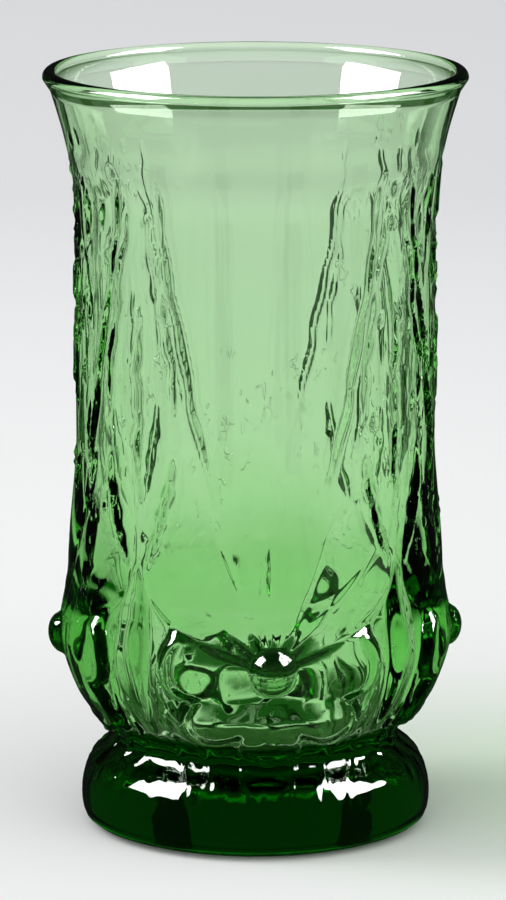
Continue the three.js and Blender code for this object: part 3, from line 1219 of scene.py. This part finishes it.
    def _softbox(self, side: int, name: str) -> None:
        """A tall softbox, which is plainer in what is seen through the glass than in direct reflections.

        Args:
            side: -1 at the left, 1 at the right.
            name: Its name.
        """
        turns = [side * (self.box_azimuth + way * self.box_half_width) for way in (-1, 1)]
        corners = [
            self._direction(turn, rise) * self.box_distance
            for turn, rise in ((turns[0], self.box_low), (turns[1], self.box_low),
                               (turns[1], self.box_high), (turns[0], self.box_high))
        ]
        material, add = new_material(name)
        path = add("LightPath")
        level = add(
            "MapRange", {"Value": path.outputs["Is Transmission Ray"],
             "To Min": self.box_strength, "To Max": self.box_through})
        direct = add("Math", {0: path.outputs["Diffuse Depth"], 1: 0.5}, operation="LESS_THAN")
        strength = add("Math", {0: level, 1: direct}, operation="MULTIPLY")
        light = add("Emission", {"Color": (1, 1, 1, 1), "Strength": strength})
        add("OutputMaterial", {"Surface": light})
        self._only_in_glass(flat_object(name, corners, [(0, 1, 2, 3)], material))

    @staticmethod
    def _only_in_glass(card: Object) -> None:
        """Hides a card from the camera, from matt surfaces and from shadows, so that only reflections and
        refractions show it.

        Args:
            card: The card.
        """
        for kind in (RayKind.CAMERA, RayKind.DIFFUSE, RayKind.SHADOW):
            setattr(card, kind.value, False)

    def _painted_dark(self) -> Material:
        """Painted dark for the flags: an unlit glow, as dark as the room above the glass.

        Returns:
            The material.
        """
        material, add = new_material("painted_dark_flag")
        # Painted dark: an emission of the room's dark colour, not lit by any lamp.
        dark = add("Emission", {"Color": linear(self.dark_colour)})
        add("OutputMaterial", {"Surface": dark})
        return material

    def _flag(self, number: int, painted_dark: Material) -> None:
        """A card of painted dark, lying and then standing, that gives steep edges in the glass their dark
        lines.

        Args:
            number: Which of the cards round the glass.
            painted_dark: The painted dark that it shows.
        """
        middle = self.flag_offset + 360 / self.flags * number
        corners = []
        for reach, height in ((self.flag_near, 0.0), (self.flag_far, 0.0), (self.flag_far, self.flag_height)):
            for way in (-1, 1):
                turn = math.radians(middle + way * self.flag_half_width)
                corners.append((reach * math.sin(turn), -reach * math.cos(turn), height + self.floor_drop))
        self._only_in_glass(flat_object(f"flag_{number}", corners, [(0, 1, 3, 2), (2, 3, 5, 4)], painted_dark))

    def _black_table(self) -> None:
        """A card round the foot that paints direct reflections dark, a painted dark reflection, so that dark
        glass stays dark.

        What is seen through the glass passes it, but for a painted green shadow close to the foot.
        """
        steps = self.table_corners
        ways = [(math.cos(math.tau * k / steps), math.sin(math.tau * k / steps)) for k in range(steps)]
        corners = [
            (x * reach, y * reach, -self.floor_drop / 2)
            for reach in (self.table_near, self.table_far) for x, y in ways
        ]
        faces = [(k, steps + k, steps + (k + 1) % steps, (k + 1) % steps) for k in range(steps)]
        material, add = new_material("painted_dark_card_material")
        path = add("LightPath")
        # Painted dark reflection for direct reflections, and a painted green shadow near the foot for rays
        # through the glass.
        painted_dark_reflection = add("Emission", {"Color": linear(self.painted_dark_reflection_colour)})
        place = add("TexCoord").outputs["Object"]
        reach = add("VectorMath", {0: place}, operation="LENGTH").outputs["Value"]
        near = add(
            "MapRange", {"Value": reach, "From Min": self.shade_from, "From Max": self.shade_full},
            interpolation_type="SMOOTHSTEP")
        shade = add("Emission", {"Color": linear(self.shade_colour)})
        clear = add("BsdfTransparent")
        through = add("MixShader", {"Fac": near, 1: clear, 2: shade})
        mixed = add("MixShader", {"Fac": path.outputs["Is Transmission Ray"], 1: painted_dark_reflection, 2: through})
        add("OutputMaterial", {"Surface": mixed})
        self._only_in_glass(flat_object("black_table", corners, faces, material))

    def _lamp(self) -> None:
        """A soft lamp for the floor, from the side, which the glass doesn't show."""
        data = bpy.data.lights.new("side_lamp", "AREA")
        data.size = self.lamp_size
        data.energy = self.lamp_power
        lamp = link_object("side_lamp", data)
        way = self._direction(self.lamp_azimuth, self.lamp_elevation)
        lamp.location = way * self.lamp_distance
        lamp.rotation_euler = way.to_track_quat("Z", "Y").to_euler()
        for kind in (RayKind.CAMERA, RayKind.GLOSSY, RayKind.TRANSMISSION):
            setattr(lamp, kind.value, False)


@dataclass
class PhotoCamera:
    """The camera at the photograph's viewing angle. The picture is 506 by 900 pixels."""

    azimuth: float = -5.0
    distance: float = 1.1
    height: float = 0.298
    look_down: float = 11.4
    focal_pixels: float = 5711.0
    frame_height: float = 900.0
    sensor: float = 36.0
    clip: Span = (0.05, 50.0)
    aside_pixels: float = 2.5
    above_pixels: float = 9.0

    def build(self) -> None:
        """Makes the scene's camera, with two small turns that put the glass where the frame has it."""
        data = bpy.data.cameras.new("camera")
        data.sensor_width = self.sensor
        data.lens = self.focal_pixels / self.frame_height * self.sensor
        data.clip_start, data.clip_end = self.clip
        camera = link_object("camera", data)
        turn = math.radians(self.azimuth)
        camera.location = (self.distance * math.sin(turn), -self.distance * math.cos(turn), self.height)
        down = math.radians(self.look_down) + self.above_pixels / self.focal_pixels
        camera.rotation_euler = (math.pi / 2 - down, 0, turn + self.aside_pixels / self.focal_pixels)
        bpy.context.scene.camera = camera


@dataclass
class Tumbler:
    """The pressed-glass tumbler: its form, its mould's pattern and its finish."""

    form: TumblerForm
    glass: SodaLimeGlass = field(default_factory=SodaLimeGlass)
    surface: PressedSurface = field(default_factory=PressedSurface)

    def build(self) -> Object:
        """Presses the glass and puts it in its solid's place.

        Returns:
            The finished piece.
        """
        pattern = PressedPattern(self.form)
        blank = GlassBody(self.form, pattern).build()
        piece = self.surface.press(blank, "tumbler_body", self.glass.material())
        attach(piece, "root")
        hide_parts(CAD_NODE)
        return piece


def report(pieces: Iterable[Object]) -> None:
    """Logs each piece with its size.

    Args:
        pieces: The finished pieces.
    """
    for piece in pieces:
        triangles = sum(len(face.vertices) - 2 for face in piece.data.polygons)
        sizes = " x ".join(f"{side / MM:.1f}" for side in piece.dimensions)
        LOG.info("%s: %d triangles, %s mm", piece.name, triangles, sizes)


def main() -> None:
    """Builds the camera, the studio and the tumbler, in that order."""
    logging.basicConfig(level=logging.INFO, format="%(message)s")
    bpy.context.scene.view_settings.view_transform = "Standard"
    camera = PhotoCamera()
    camera.build()
    Studio(facing=camera.azimuth).build()
    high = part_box(CAD_NODE)[1]
    form = TumblerForm(height=high[2] / MM, lip_radius=high[0] / MM)
    report([Tumbler(form).build()])


if __name__ == "__main__":
    main()
